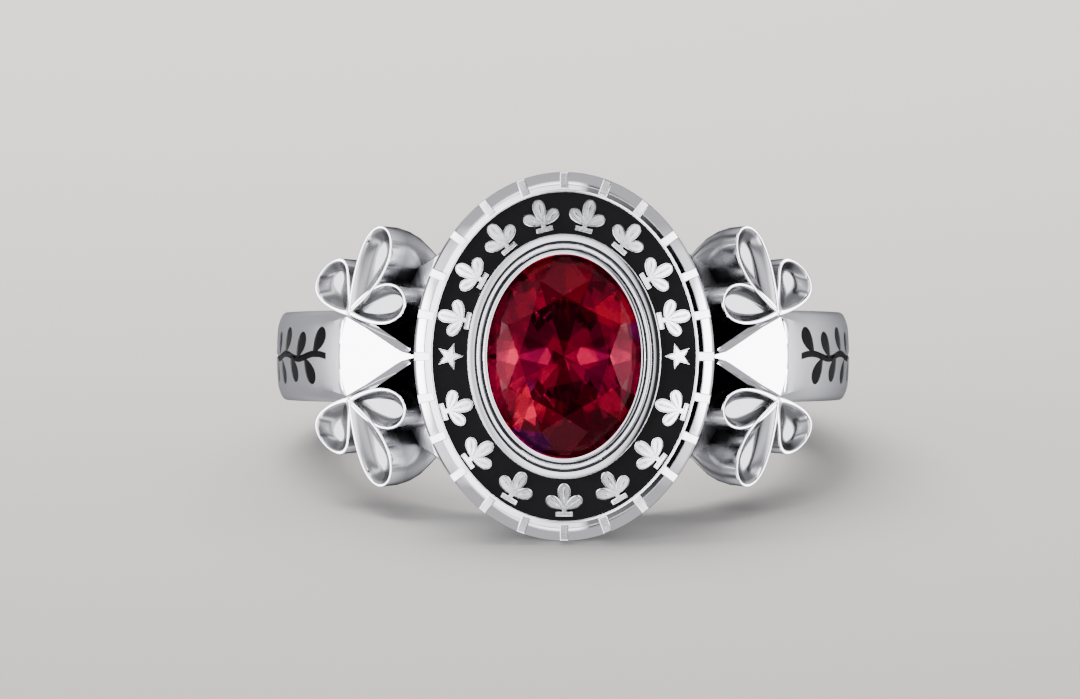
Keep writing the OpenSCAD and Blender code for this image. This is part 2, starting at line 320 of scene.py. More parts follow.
# The stem without leaves at both ends, half the length of its wave, its sway and half its width
VINE_BARE = 0.5
VINE_WAVE = 1.5
VINE_SWAY = 0.10
VINE_HALF = 0.13
# Leaves: size, and turn from the stem in degrees
VINE_LEAF_LONG = 1.28
VINE_LEAF_WIDE = 0.70
VINE_LEAF_TURN = 50
# The top of every second leaf is this much lower, so that no two tops lie in one surface
VINE_STEP = 0.003
ENGRAVED_DEPTH = 0.24
CUTTER_ABOVE = 0.3
# The engraving's fill: its depth below the silver, its clearance at the bottom and at the sides
FILL_BELOW = 0.04
FILL_FIT = 0.005
FILL_SHRINK = 0.008

# Edges sharper than this, in degrees, aren't blended
SHARP_DEG = 32
SILVER_SHARP_DEG = 24
# The kites and their bevels: from and to across the finger, margin along it, depth below the kites' plane,
# and how far in degrees a face may turn from that plane to count as a kite's
KITE_ACROSS = (5.5, 8.3)
KITE_MARGIN = 0.1
KITE_DEPTH = (-0.005, 0.5)
KITE_FACING_DEG = 1.5

# Silver's colour and its painted shade's colour, its least and most roughness, and what satin and shade add
# to that
SILVER_BRIGHT = (0.93, 0.93, 0.945, 1)
SILVER_SHADE = (0.02, 0.02, 0.023, 1)
SILVER_ROUGH = (0.03, 0.07)
SATIN_ROUGH = 0.30
SHADE_ROUGH = 0.25
# Silver's grain: how many grains to a metre, their height in metres, how much of it shows, and what satin
# adds to that
SILVER_GRAIN = 2400
GRAIN_HEIGHT = 0.00001
GRAIN_SHOWS = 0.03
SATIN_GRAIN_SHOWS = 0.5
# Painted shade: the gaps beside the kites, where shade falls, are painted black. The values between which
# the black sets in:
# depth below the kites' plane, place along the finger, place across it at both ends, height, distance from
# the finger hole's wall
KITE_GAP_DEPTH = (0.225, 0.26)
KITE_GAP_ALONG = (1.3, 1.25)
KITE_GAP_OUTER = (8.0, 7.8)
KITE_GAP_INNER = (4.2, 4.6)
KITE_GAP_HIGH = (1.0, 2.0)
KITE_GAP_OFF_BORE = (0.1, 0.4)

# Painted shade: the head's grooves, where shade falls, painted black: their insets, and the height over the
# crest above which they lie
BEZEL_GROOVES = [(2.27, 2.40), (2.52, 2.63)]
BORDER_GROOVE = (0.36, 0.46)
GROOVE_SOFT = 0.02
GROOVES_ABOVE = -0.6
# Heights over the crest below which a groove darkens, and over what height
BEZEL_DARKENS = (0.10, 0.1)
BORDER_DARKENS = (-0.15, 0.1)
BORDER_DARK = 0.8
# In the values below, two numbers are where a shade starts or ends and how softly, and three are from, to
# and how softly.
# Painted shade, black, beside the kites and under the petals where shade falls: depth below the kites'
# plane, and where
BESIDE_KITE = 1.3
KITE_BLACK_BELOW = 0.24
PETAL_BLACK_BELOW = 0.45
GAP_SOFT = 0.04
GAP_ACROSS = (4.2, 8.3, 0.4)
GAP_ALONG = (2.4, 0.6)
# Painted shade between the head and the long petals: how dark, and where
BEHIND_DARK = 0.8
BEHIND_DEPTH = (0.6, 0.6)
BEHIND_ACROSS = (4.2, 6.7, 0.2)
BEHIND_ALONG = (2.75, 3.45, 0.15)
# Neither is painted near the finger hole's wall, or below this height
OFF_BORE = (0.1, 0.3)
HEAD_SIDE_Z = 1
# Painted satin and painted shade: the band behind the crease, darkened all over and a little more towards
# its sides
BAND_BELOW = (0.001, 0.02)
BAND_MARGIN = 0.01
BAND_DARK = 0.14
BAND_SIDE_DARK = 0.35
BAND_SIDE = (9.8, 1.5)
# Painted shade: the petals' walls and bowls are darkened, from these places across and along the finger. The
# shade lightens with depth, and their lower part is a little satin
WALL_FROM = (5.3, 1.3)
WALL_BELOW = (0.01, 0.06)
WALL_DARK = 0.68
WALL_LIGHTENS = 0.28
WALL_DEEP = (0.5, 2)
WALL_SATIN = 0.35
WALL_SATIN_BELOW = (0.45, 0.1)

# Enamel's colours, and how many clouds it has to a metre
ENAMEL_DARK = (0.002, 0.002, 0.0022, 1)
ENAMEL_CLOUDY = (0.010, 0.0095, 0.010, 1)
ENAMEL_CLOUDS = 420

# The stone, with painted reflections: cells to a metre, their shift, and their tones, light and dark in
# place of the facets lit and shaded inside a cut stone, each with the share from which it is used
STONE_CELLS = 900
CELL_SHIFT = (0.0, 0.0, 0.003)
STONE_TONES = [
    (0.0, (0.12, 0.001, 0.014, 1)),
    (0.34, (0.22, 0.0012, 0.019, 1)),
    (0.60, (0.42, 0.002, 0.024, 1)),
    (0.78, (0.58, 0.006, 0.032, 1)),
    (0.95, (0.16, 0.002, 0.16, 1)),
]
# The table's painted shade, a darkening tint, how closely a facet faces as the table does to count as it,
# and the glints' colour
TABLE_SHADE = (0.38, 0.7, 0.65, 1)
TABLE_FACING = 0.98
STONE_GLINT = (0.16, 0.01, 0.02, 1)


# Mesh tools

def new_object(name, data):
    obj = bpy.data.objects.new(name, data)
    bpy.context.scene.collection.objects.link(obj)
    return obj


def mesh_object(name, points, faces):
    mesh = bpy.data.meshes.new(name)
    mesh.from_pydata([tuple(p) for p in points], [], faces)
    mesh.validate()
    return new_object(name, mesh)


def loft(name, rings, endless=False):
    """A closed solid from rings of equal length, with flat ends or its last ring joined to the first."""
    rings = np.asarray(rings, float)
    rows, n, _ = rings.shape
    faces = [
        (k * n + i, k * n + (i + 1) % n, (k + 1) % rows * n + (i + 1) % n, (k + 1) % rows * n + i)
        for k in range(rows if endless else rows - 1)
        for i in range(n)
    ]
    if not endless:
        faces.append(tuple(range(n - 1, -1, -1)))
        faces.append(tuple((rows - 1) * n + i for i in range(n)))
    return mesh_object(name, rings.reshape(-1, 3), faces)


def drop(obj):
    mesh = obj.data
    bpy.data.objects.remove(obj)
    bpy.data.meshes.remove(mesh)


def boolean(obj, tool, operation):
    """Changes a solid by another one, which is used up."""
    mod = obj.modifiers.new("cut", "BOOLEAN")
    mod.operation = operation
    mod.solver = "MANIFOLD"
    mod.object = tool
    ready = obj.evaluated_get(bpy.context.evaluated_depsgraph_get())
    mesh = bpy.data.meshes.new_from_object(ready)
    if not len(mesh.vertices):
        raise RuntimeError(f"{operation} with {tool.name} left {obj.name} empty")
    obj.modifiers.clear()
    old = obj.data
    obj.data = mesh
    bpy.data.meshes.remove(old)
    drop(tool)


def joined(name, objects):
    """One object from solids that don't touch each other."""
    points = []
    faces = []
    for o in objects:
        start = len(points)
        points += [tuple(v.co) for v in o.data.vertices]
        faces += [tuple(start + i for i in p.vertices) for p in o.data.polygons]
        drop(o)
    return mesh_object(name, points, faces)


def moved_copy(name, obj, matrix):
    copy = new_object(name, obj.data.copy())
    copy.data.transform(matrix)
    if matrix.determinant() < 0:
        copy.data.flip_normals()
    return copy


def finish_piece(obj, material, sharp_deg=SHARP_DEG):
    """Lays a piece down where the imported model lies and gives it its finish."""
    obj.data.transform(lay_down)
    obj.data.update()
    obj.data.shade_smooth()
    obj.data.set_sharp_from_angle(angle=math.radians(sharp_deg))
    obj.data.materials.clear()
    obj.data.materials.append(material)
    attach(obj, "root")


# Numbers

def mix(a, b, t):
    return a + (b - a) * t


def ease(t):
    return (1 - math.cos(math.pi * t)) / 2


def rise(v, start, width):
    """0 up to the start, 1 from a width beyond it, and even in between."""
    return np.clip((v - start) / width, 0, 1)


def fall(v, end, width):
    """1 up to a width before the end, 0 from the end, and even in between."""
    return np.clip((end - v) / width, 0, 1)


def between(v, low, high, soft):
    return rise(v, low, soft) * fall(v, high, soft)


# Ovals

def inset_along(inset):
    """The inset along the finger that belongs to an inset across it."""
    return float(np.interp(inset, *zip(*OVAL_INSETS)))


def oval(inset, z):
    u = np.arange(OVAL_STEPS) * 2 * math.pi / OVAL_STEPS
    a = HEAD_A - inset
    b = HEAD_B - inset_along(inset)
    return np.column_stack([a * np.cos(u), b * np.sin(u), np.full(OVAL_STEPS, z)])


def spread(a, b, u0, u1, n, samples=2001):
    """Angles in degrees that lie at equal steps along an oval."""
    u = np.radians(np.linspace(u0, u1, samples))
    steps = np.hypot(np.diff(a * np.cos(u)), np.diff(b * np.sin(u)))
    way = np.concatenate([[0], np.cumsum(steps)])
    return np.degrees(np.interp(np.linspace(0, way[-1], n), way, u))


def on_oval(a, b, deg, z):
    """Places a shape on an oval, with its X axis square to the oval and outwards."""
    u = math.radians(deg)
    turn = math.atan2(a * math.sin(u), b * math.cos(u))
    return Matrix.Translation((a * math.cos(u), b * math.sin(u), z)) @ Matrix.Rotation(turn, 4, "Z")


def rounded(corners, steps=4, most=0.45):
    """A profile of (inset, z, radius) corners, each rounded over its radius or at most a share of a side."""
    out = []
    last = len(corners) - 1
    for i, (x, z, r) in enumerate(corners):
        here = np.array([x, z])
        if r <= 0 or i in (0, last):
            out.append(here)
            continue
        back = np.array(corners[i - 1][:2]) - here
        ahead = np.array(corners[i + 1][:2]) - here
        lb = np.linalg.norm(back)
        la = np.linalg.norm(ahead)
        reach = min(r, lb * most, la * most)
        p0 = here + back / lb * reach
        p1 = here + ahead / la * reach
        for t in np.linspace(0, 1, steps + 1):
            out.append((1 - t) ** 2 * p0 + 2 * t * (1 - t) * here + t * t * p1)
    return out


# Head

def head():
    return loft("head", [oval(x, CREST_Z + z) for x, z in rounded(HEAD_PROFILE)])


def bar():
    """One flat bar across the border, with softened edges."""

    def rect(inset, z):
        x = BAR_LONG / 2 - inset
        y = BAR_W / 2 - inset
        return [(-x, -y, z), (x, -y, z), (x, y, z), (-x, y, z)]

    middle = BAR_SOFT * 0.35
    rows = [
        (0, BAR_PROUD - BAR_DEEP),
        (0, BAR_PROUD - BAR_SOFT),
        (middle, BAR_PROUD - middle),
        (BAR_SOFT, BAR_PROUD),
    ]
    return loft("bar", [rect(inset, z) for inset, z in rows])


def border_bars():
    a = HEAD_A - BAR_INSET[0]
    b = HEAD_B - BAR_INSET[1]
    angles = []
    for start in (0, 90, 180, 270):
        angles += list(spread(a, b, start, start + 90, BARS // 4 + 1)[:-1])
    one = bar()
    bars = [moved_copy("bar", one, on_oval(a, b, u, CREST_Z)) for u in angles]
    drop(one)
    return joined("bars", bars)


# Raised ornament of the channel

def leaf_outline(length, width, grow=0.0, n=40):
    """A leaf from the origin along X, with a pointed foot and a round end."""
    u = np.arange(n) * 2 * math.pi / n
    grown = length + (1 + LEAF_FOOT_GROWTH) * grow
    x = grown * (1 - np.cos(u)) / 2 - LEAF_FOOT_GROWTH * grow
    y = -(width / 2 + grow) * np.sin(u) * np.sin(u / 2) / LEAF_PEAK
    return np.column_stack([x, y])


def raised_leaf(length, width, turn, foot, grow, height):
    """A leaf with bevelled edges and a sunk midrib, from Z 0 up to height; a grown one is a plain cutter."""
    c = math.cos(math.radians(turn))
    s = math.sin(math.radians(turn))
    out = leaf_outline(length, width, grow)

    def ring(shrink_x, shrink_y, z):
        p = out * [shrink_x, shrink_y] + [length * LEAF_HEART * (1 - shrink_x), 0]
        p = p @ np.array([[c, s], [-s, c]]) + [foot, 0]
        return np.column_stack([p, np.full(len(p), z)])

    if grow:
        return loft("leaf", [ring(1, 1, 0), ring(1, 1, height)])
    rings = [ring(long, wide, height - sunk) for long, wide, sunk in LEAF_RINGS]
    return loft("leaf", [ring(1, 1, 0)] + rings)


def bevelled_box(x0, x1, half_y, height, soft):
    def rect(inset, z):
        return [
            (x0 + inset, -half_y + inset, z),
            (x1 - inset, -half_y + inset, z),
            (x1 - inset, half_y - inset, z),
            (x0 + inset, half_y - inset, z),
        ]

    return loft("box", [rect(0, 0), rect(0, height - soft), rect(soft, height)])


def sprig(grow, height):
    """Three leaves that spread from a short stem on a bar, growing along X."""
    soft = 0 if grow else ORNAMENT_SOFT
    bar_from = SPRIG_FOOT - grow
    bar_to = SPRIG_FOOT + FOOT_LONG + grow
    one = bevelled_box(bar_from, bar_to, FOOT_HALF + grow, height - soft / 2, soft or HAIR)
    stem_from = SPRIG_FOOT + STEM_FROM
    stem_to = SPRIG_FOOT + STEM_TO
    boolean(one, bevelled_box(stem_from, stem_to, STEM_HALF + grow, height - STEM_SUNK, HAIR), "UNION")
    for k, (length, width, turn, foot) in enumerate(SPRIG_LEAVES):
        boolean(one, raised_leaf(length, width, turn, foot, grow, height - LEAF_STEP * k), "UNION")
    return one


def star(grow, height):
    k = np.arange(10)
    ang = math.pi + k * math.pi / 5

    def ring(outer, z):
        r = np.where(k % 2 == 0, outer + grow * 2, outer * STAR_INNER + grow)
        return np.column_stack([r * np.cos(ang), r * np.sin(ang), np.full(10, z)])

    return loft("star", [ring(STAR_R, 0), ring(STAR_R, height - STAR_SOFT), ring(STAR_TOP_R, height)])


def channel_ornament(grow, z, height):
    """Sprigs and two stars round the channel, from a height up; grown ones are cutters."""
    a = HEAD_A - (CHANNEL_OUT + CHANNEL_IN) / 2
    b = HEAD_B - (inset_along(CHANNEL_OUT) + inset_along(CHANNEL_IN)) / 2
    one = sprig(grow, height)
    mark = star(grow, height)
    places = [("sprig", one, u, 0) for u in spread(a, b, *TOP_SPRIGS)]
    places += [("sprig", one, u, math.pi) for u in spread(a, b, *LOW_SPRIGS)]
    places += [("star", mark, u, 0) for u in (0, 180)]
    parts = [
        moved_copy(name, shape, on_oval(a, b, u, z) @ Matrix.Rotation(turn, 4, "Z"))
        for name, shape, u, turn in places
    ]
    drop(one)
    drop(mark)
    return joined("ornament", parts)


# Band

def facet_r(deg):
    """Distance of the kites' plane from the finger's axis, at an angle."""
    return FACET_D / math.cos(math.radians(deg) - FACET_TILT)


def bowed(deg, share):
    """Angle of a point that lies a share of the half width away from the section's middle."""
    return deg - CREASE_BOW * max(0, 1 - abs(deg - CREASE_AT) / BOW_REACH) * share ** 2


def band_values(deg):
    """A section's half width, flat top's half width, radius, top's sag, edge's drop and edge's roundness."""
    if deg <= CREASE_AT:
        corner_at = CREASE_AT - CREASE_BOW
        w = mix(TIP_HALF, SHOULDER_HALF, max(0, (bowed(deg, 1) - TIP_AT) / (corner_at - TIP_AT)))
        return w, w - min(BEVEL_W, w * BEVEL_SHARE), facet_r(deg), 0, BEVEL_DROP, 0
    near = min(1, (deg - CREASE_AT) / TURN_OVER)
    w = mix(SHOULDER_HALF, BACK_HALF, (deg - CREASE_AT) / (180 - CREASE_AT))
    flat = mix(SHOULDER_HALF - BEVEL_W, FLAT_HALF, near)
    if deg < 90:
        radius = mix(facet_r(CREASE_AT), SIDE_R, ease((deg - CREASE_AT) / (90 - CREASE_AT)))
    else:
        radius = mix(SIDE_R, BACK_R, ease((deg - 90) / 90))
    return w, flat, radius, TOP_SAG * near, mix(BEVEL_DROP, BACK_DROP, near), near


def half_section(deg):
    """One half of a section's top and edge: (place along the finger, drop below the radius)."""
    w, flat, _, sag, edge_drop, roundness = band_values(deg)
    half = [(flat * t, sag * t * t) for t in np.linspace(0, 1, 7)]
    for t in np.linspace(0, 1, 8)[1:]:
        arc = 1 - math.sqrt(max(0, 1 - t * t)) * EDGE_ARC - (1 - EDGE_ARC) * (1 - t)
        half.append((mix(flat, w, t), sag + (edge_drop - sag) * mix(t, arc, roundness * EDGE_ROUND)))
    return half + [(w, edge_drop + EDGE_WALL)]


def half_inside(w):
    """One half of a section's inner side: (place along the finger, distance from the axis)."""
    inside = [(w, bore_r + INNER_SOFT)]
    for t in np.linspace(0, 1, 5)[1:]:
        y = w - INNER_SOFT * (1 - math.cos(t * math.pi / 2))
        inside.append((y, bore_r + INNER_SOFT * (1 - math.sin(t * math.pi / 2))))
    return inside + [(w - INNER_SOFT, INNER_R)]


def band_section(deg):
    w, _, radius, _, _, _ = band_values(deg)

    def point(y, sunk, r=None):
        at = bowed(deg, y / w)
        if r is None:
            r = (facet_r(at) if deg <= CREASE_AT else radius) - sunk
        at = math.radians(at)
        return (r * math.sin(at), y, r * math.cos(at))

    right = [point(y, sunk) for y, sunk in half_section(deg)]
    right += [point(y, 0, r) for y, r in half_inside(w)]
    return right[:0:-1] + [(x, -y, z) for x, y, z in right]


def band():
    degs = [deg for first, last, count in BAND_SECTIONS for deg in np.linspace(first, last, count)]
    right = [band_section(deg) for deg in degs]
    left = [[(-x, y, z) for x, y, z in section] for section in right]
    return loft("band", right + left[-2::-1])


# Engraving, cut into each side of the band and filled

def wrapped(name, outline, low, high):
    """A solid over an outline of (way round the band from the side, place across it), between two depths."""
    rings = []
    for depth in (high, low):
        ring = []
        for s, y in outline:
            deg = 90 - math.degrees(s / SIDE_R)
            _, flat, radius, sag, _, _ = band_values(deg)
            r = radius - sag * (y / flat) ** 2 - depth
            at = math.radians(deg)
            ring.append((r * math.sin(at), y, r * math.cos(at)))
        rings.append(ring)
    return loft(name, rings)


def engraving(low, high, shrink):
    """Leaves and stem on the right side of the band, joined where they meet."""
    s = np.linspace(VINE_FROM, VINE_TO, VINE_STEPS)
    sway = VINE_SWAY * np.sin(s * math.pi / VINE_WAVE)
    w = VINE_HALF - shrink
    stem = np.concatenate([np.column_stack([s, sway - w]), np.column_stack([s, sway + w])[::-1]])
    one = wrapped("stem", stem, low, high)
    feet = np.arange(VINE_FROM + VINE_BARE, VINE_TO - VINE_BARE, VINE_WAVE / 2)
    for k, at in enumerate(feet):
        turn = math.radians(VINE_LEAF_TURN if k % 2 else -VINE_LEAF_TURN)
        along, across = leaf_outline(VINE_LEAF_LONG - 2 * shrink, VINE_LEAF_WIDE - 2 * shrink).T
        along = along + shrink
        foot = VINE_SWAY * math.sin(at * math.pi / VINE_WAVE)
        x = at + along * math.cos(turn) - across * math.sin(turn)
        y = foot + along * math.sin(turn) + across * math.cos(turn)
        leaf = wrapped("leaf", np.column_stack([x, y]), low, high + VINE_STEP * (k % 2))
        boolean(one, leaf, "UNION")
    return one


def web(side):
    """The solid metal between the head and the band, on one side."""
    angles = np.linspace(WEB_HALVES[0][0], WEB_HALVES[-1][0], WEB_SECTIONS)
    halves = np.interp(angles, *zip(*WEB_HALVES))
    rings = []
    for deg, w in zip(angles, halves):
        s = math.sin(math.radians(deg))
        c = math.cos(math.radians(deg))
        half = [(INNER_R, w * WEB_TAPER), (WEB_R - WEB_SOFT, w), (WEB_R, w - WEB_SOFT)]
        cut = half + [(r, -y) for r, y in half[::-1]]
        rings.append([(side * r * s, y, r * c) for r, y in cut])
    return loft("web", rings[::side])


# Petals

def in_facet(q, depth):
    """Points across and along the finger, put at a depth below the kites' plane."""
    z = (FACET_D - q[:, 0] * math.sin(FACET_TILT)) / math.cos(FACET_TILT)
    x = q[:, 0] - depth * math.sin(FACET_TILT)
    return np.column_stack([x, q[:, 1], z - depth * math.cos(FACET_TILT)])


def petal(row, n=112):
    """One petal: walls down into the metal, a rim, and a bowl or a fold inside it."""
    px, py, half_w, bend, full, lift, folded = row
    reach = math.hypot(px, py)
    full_l = reach + PETAL_SUNK
    direction = np.array([px, py]) / reach
    side = np.array([direction[1], -direction[0]])
    u = np.arange(n) * 2 * math.pi / n

    def outline(inset, wide=1.0, root_way=None, end_way=None, middle=FOLD_MIDDLE):
        """The petal's edge, drawn in towards a point on its midline."""
        root_way = wide if root_way is None else root_way
        end_way = wide if end_way is None else end_way
        start = inset * ROOT_INSET
        length = full_l - start - inset
        t = (1 - np.cos(u)) / 2
        mid = start + length * (middle + (t - middle) * np.where(t < middle, root_way, end_way))
        out = (half_w - inset) * wide * np.sin(u) * np.abs(np.sin(u / 2)) ** full / PETAL_PEAK
        bow = bend * np.sin(math.pi * mid / full_l)
        return PETAL_ROOT + direction * (mid - PETAL_SUNK)[:, None] + side * (out + bow)[:, None]

    def wall(depth, share):
        return in_facet(outline(0), depth - lift) * [1, share, 1]

    rings = [wall(depth, share) for depth, share in PETAL_WALLS + [(RIM_SOFT, 1)]]
    rings += [in_facet(outline(inset), sunk - lift) for inset, sunk in RIM_ROWS]
    if folded:
        for share in FOLD_STEPS:
            edge = outline(RIM_W, *(1 - closes * share for closes in FOLD_CLOSES))
            sunk = FOLD_DEEP * math.sin(share * math.pi / 2)
            rings.append(in_facet(edge, RIM_SUNK + sunk - lift))
    else:
        for size in BOWL_SIZES:
            edge = outline(RIM_W, size, middle=BOWL_MIDDLE)
            sunk = BOWL_DEEP * math.sin(min(1, (1 - size) / BOWL_SLOPE) * math.pi / 2)
            rings.append(in_facet(edge, RIM_SUNK - lift + sunk))
    return loft("petal", rings)


# The silver and its black fills

def bore_cutter(n=360, reach=10):
    u = np.arange(n) * 2 * math.pi / n
    x = bore_r * np.sin(u)
    z = bore_r * np.cos(u)
    return loft("bore", [np.column_stack([x, np.full(n, y), z]) for y in (-reach, reach)])


def ring_body():
    """All the silver: head, bars, ornament, engraved band, webs and petals, with the finger hole cut."""
    body = head()
    boolean(body, border_bars(), "UNION")
    ornament_h = LEAF_Z - CHANNEL_Z + ORNAMENT_ROOT
    boolean(body, channel_ornament(0, CHANNEL_Z - ORNAMENT_ROOT, ornament_h), "UNION")
    shank = band()
    cutter = engraving(ENGRAVED_DEPTH, -CUTTER_ABOVE, 0)
    boolean(shank, moved_copy("engraving", cutter, MIRROR), "DIFFERENCE")
    boolean(shank, cutter, "DIFFERENCE")
    boolean(body, shank, "UNION")
    for side in (-1, 1):
        boolean(body, web(side), "UNION")
    for row in PETALS:
        one = petal(row)
        for sx in (1, -1):
            for sy in (1, -1):
                boolean(body, moved_copy("petal", one, Matrix.Diagonal((sx, sy, 1, 1))), "UNION")
        drop(one)
    boolean(body, bore_cutter(), "DIFFERENCE")
    body.name = "silver_ring"
    body.data.name = "silver_ring"
    return body


def enamel():
    """The black fill: it sinks a little between the walls, as fired enamel does."""
    inner = CHANNEL_IN - FIT
    outer = CHANNEL_OUT + FIT
    bottom = CHANNEL_Z + FIT
    rows = [(inner, bottom), (outer, bottom)]
    for t in np.linspace(0, 1, 9):
        rows.append((mix(outer, inner, t), ENAMEL_Z + ENAMEL_SAG * (2 * t - 1) ** 4))
    fill = loft("enamel", [oval(x, z) for x, z in rows], endless=True)
    boolean(fill, channel_ornament(CUTTER_GROWTH, CHANNEL_Z - CUTTER_ROOT, CUTTER_H), "DIFFERENCE")
    return fill


def engraved_fill():
    right = engraving(ENGRAVED_DEPTH - FILL_FIT, FILL_BELOW, FILL_SHRINK)
    left = moved_copy("engraved_fill", right, MIRROR)
    return joined("engraved_fill", [right, left])


# Shader tools

def set_inputs(tree, node, inputs):
    """Gives a node's inputs, by name or number, a constant or the output that feeds them."""
    for key, value in inputs.items():
        if isinstance(value, bpy.types.NodeSocket):
            tree.links.new(value, node.inputs[key])
        else:
            node.inputs[key].default_value = value


def add_node(tree, kind, inputs, **settings):
    node = tree.nodes.new("ShaderNode" + kind)
    for name, value in settings.items():
        setattr(node, name, value)
    set_inputs(tree, node, inputs)
    return node


def maths(tree, operation, *values):
    return add_node(tree, "Math", dict(enumerate(values)), operation=operation).outputs["Value"]


def dot(tree, value, axis):
    """The length of a vector along an axis."""
    return add_node(tree, "VectorMath", {0: value, 1: axis}, operation="DOT_PRODUCT").outputs["Value"]


def ramp(tree, value, low, high, **ends):
    """0 up to low, 1 from high and even in between, or with other ends where they are given."""
    inputs = {"Value": value, "From Min": low, "From Max": high, **ends}
    return add_node(tree, "MapRange", inputs).outputs["Result"]


def blend(tree, a, b, share, **settings):
    return add_node(tree, "Mix", {"A": a, "B": b, "Factor": share}, **settings).outputs["Result"]


def coords(tree, kind):
    return tree.nodes.new("ShaderNodeTexCoord").outputs[kind]


def attribute(tree, name):
    return add_node(tree, "Attribute", {}, attribute_name=name).outputs["Fac"]


def noise(tree, place, scale, detail=4):
    inputs = {"Vector": place, "Scale": scale, "Detail": detail}
    return add_node(tree, "TexNoise", inputs).outputs["Fac"]


def new_material(name):
    mat = bpy.data.materials.new(name)
    mat.use_nodes = True
    return mat, mat.node_tree, mat.node_tree.nodes["Principled BSDF"]


# Materials

def kite_gap_shade(tree, place):
    """Painted shade: 1 in the narrow gaps beside the kites, 0 elsewhere."""

    def along(axis):
        """A point's place along one of the ring's own axes, in millimetres."""
        start = Vector(finger["pos_m"]).dot(axis) / MM
        return maths(tree, "SUBTRACT", dot(tree, place, axis / MM), start)

    side_x = maths(tree, "ABSOLUTE", along(axis_x))
    side_y = maths(tree, "ABSOLUTE", along(axis_y))
    high = along(axis_z)
    radius = maths(tree, "MULTIPLY", high, high)
    radius = maths(tree, "SQRT", maths(tree, "MULTIPLY_ADD", side_x, side_x, radius))
    depth = maths(tree, "MULTIPLY_ADD", high, -math.cos(FACET_TILT), FACET_D)
    depth = maths(tree, "MULTIPLY_ADD", side_x, -math.sin(FACET_TILT), depth)
    limits = [
        (side_y, KITE_GAP_ALONG),
        (side_x, KITE_GAP_OUTER),
        (side_x, KITE_GAP_INNER),
        (high, KITE_GAP_HIGH),
        (radius, [bore_r + off for off in KITE_GAP_OFF_BORE]),
    ]
    gap = ramp(tree, depth, *KITE_GAP_DEPTH)
    for value, ends in limits:
        gap = maths(tree, "MULTIPLY", gap, ramp(tree, value, *ends))
    return gap


def silver_material():
    """Polished silver, satin and with painted shade where the mesh is painted so, and shaded black beside
    the kites.
    """
    mat, tree, shader = new_material("polished_silver")
    place = coords(tree, "Object")
    grain = noise(tree, place, SILVER_GRAIN)
    satin = attribute(tree, "satin")
    # Painted shade: from the mesh's paint, and black in the gaps beside the kites
    dark = maths(tree, "MAXIMUM", attribute(tree, "blackened"), kite_gap_shade(tree, place))
    least, most = SILVER_ROUGH
    rough = ramp(tree, grain, 0, 1, **{"To Min": least, "To Max": most})
    for share, adds in ((satin, SATIN_ROUGH), (dark, SHADE_ROUGH)):
        rough = maths(tree, "MULTIPLY_ADD", share, adds, rough)
    strength = maths(tree, "MULTIPLY_ADD", satin, SATIN_GRAIN_SHOWS, GRAIN_SHOWS)
    bump = add_node(tree, "Bump", {"Distance": GRAIN_HEIGHT, "Strength": strength, "Height": grain})
    # The base colour darkens with the painted shade
    set_inputs(tree, shader, {
        "Metallic": 1,
        "Base Color": blend(tree, SILVER_BRIGHT, SILVER_SHADE, dark, data_type="RGBA"),
        "Roughness": rough,
        "Normal": bump.outputs["Normal"],
    })
    return mat


def enamel_material():
    mat, tree, shader = new_material("black_enamel")
    clouds = noise(tree, coords(tree, "Object"), ENAMEL_CLOUDS)
    set_inputs(tree, shader, {
        "Base Color": blend(tree, ENAMEL_DARK, ENAMEL_CLOUDY, clouds, data_type="RGBA"),
        "Roughness": 0.35,
        "IOR": 1.2,
        "Specular IOR Level": 0.3,
    })
    return mat


def stone_material():
    """A clear red stone with painted reflections: cell to cell tones for its lit and dark facets, and a
    shaded table.
    """
    mat, tree, shader = new_material("red_stone")
    shift = add_node(tree, "Mapping", {"Vector": coords(tree, "Object"), "Location": CELL_SHIFT})
    place = shift.outputs["Vector"]
    # Painted reflections: tones that change from cell to cell
    cells = add_node(tree, "TexVoronoi", {"Vector": place, "Scale": STONE_CELLS, "Randomness": 1})
    split = add_node(tree, "SeparateColor", {"Color": cells.outputs["Color"]})
    tones = add_node(tree, "ValToRGB", {"Fac": split.outputs["Red"]})
    tones.color_ramp.interpolation = "CONSTANT"
    stops = tones.color_ramp.elements
    for stop, (share, colour) in zip(stops, STONE_TONES):
        stop.position = share
        stop.color = colour
    for share, colour in STONE_TONES[len(stops):]:
        stops.new(share).color = colour
    # Painted shade on the table
    normal = tree.nodes.new("ShaderNodeNewGeometry").outputs["True Normal"]
    table = maths(tree, "GREATER_THAN", dot(tree, normal, axis_z), TABLE_FACING)
    colour = tones.outputs["Color"]
    set_inputs(tree, shader, {
        "Base Color": blend(tree, colour, TABLE_SHADE, table, data_type="RGBA", blend_type="MULTIPLY"),
        "Transmission Weight": 0.85,
        "IOR": 1.77,
        "Specular IOR Level": 0.04,
        "Specular Tint": STONE_GLINT,
        "Roughness": 0,
    })
    return mat


# Paint on the silver: painted shade and satin

def head_inset(x, y, deepest=3.2, steps=129):
    """The inset from the head's outline of the oval that each point lies on, down to the deepest."""
    grid = np.linspace(0, deepest, steps)
    a = HEAD_A - grid
    b = HEAD_B - np.array([inset_along(g) for g in grid])
    inside = (x[:, None] / a) ** 2 + (y[:, None] / b) ** 2 < 1
    return np.interp(inside.sum(axis=1), np.arange(1, steps + 1), grid)


def groove_shade(inset, up):
    """How black the painted shade in the head's grooves is, from a point's inset and its height over the
    crest.
    """
    bezel = sum(between(inset, low, high, GROOVE_SOFT) for low, high in BEZEL_GROOVES)
    border = between(inset, *BORDER_GROOVE, GROOVE_SOFT)
    black = bezel * fall(up, *BEZEL_DARKENS) + BORDER_DARK * border * fall(up, *BORDER_DARKENS)
    return black * (up > GROOVES_ABOVE)


